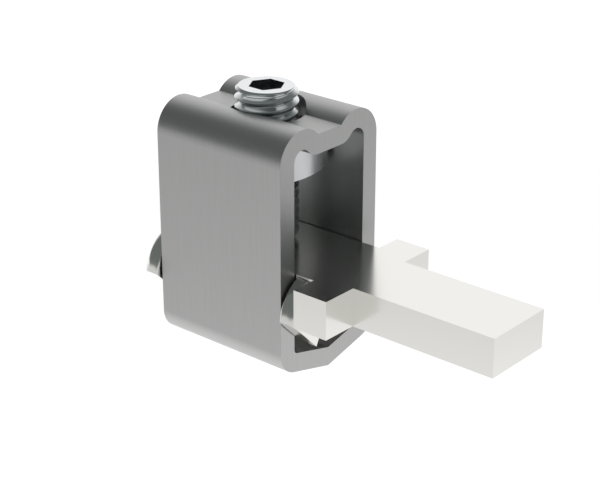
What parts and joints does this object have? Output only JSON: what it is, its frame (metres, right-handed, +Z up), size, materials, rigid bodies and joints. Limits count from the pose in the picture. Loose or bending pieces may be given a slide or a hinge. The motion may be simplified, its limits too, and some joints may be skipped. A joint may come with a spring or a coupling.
{
  "type": "vee clamp connector",
  "caption": "Frame clamp with a vee floor that a hexagon socket screw pulls up, to press a cable against a saddle under a flat terminal bar.",
  "frame": {"origin": "middle of the vee's inner root line, where the cable lies", "axes": "+X along the cable and the bar, towards the bar's free end; +Y across the frame; +Z up the screw"},
  "size_m": [0.0632, 0.0248, 0.0436],
  "materials": {
    "frame": "satin, with faint lines up its walls",
    "nut": "bright zinc plate",
    "screw": "bright zinc plate",
    "saddle": "bright tin plate",
    "terminal_bar": "bright tin plate"
  },
  "bodies": {
    "bar": {"terminal_bar": "terminal_bar", "saddle": "saddle"},
    "frame": {"frame": "frame", "nut": "nut"},
    "screw": {"screw": "screw"}
  },
  "joints": [
    {"name": "frame_lift", "type": "slide", "parent": "bar", "child": "frame", "axis": [0, 0, 1], "range_m": [-0.012, 0.002]},
    {"name": "screw_turn", "type": "hinge", "parent": "bar", "child": "screw", "pos_m": [0, 0, 0], "axis": [0, 0, 1], "range_deg": [-480.5, 2880.5]}
  ],
  "couplings": [
    {"joint": "screw_turn", "follows": "frame_lift", "rad_per_m": -4188.8}
  ]
}
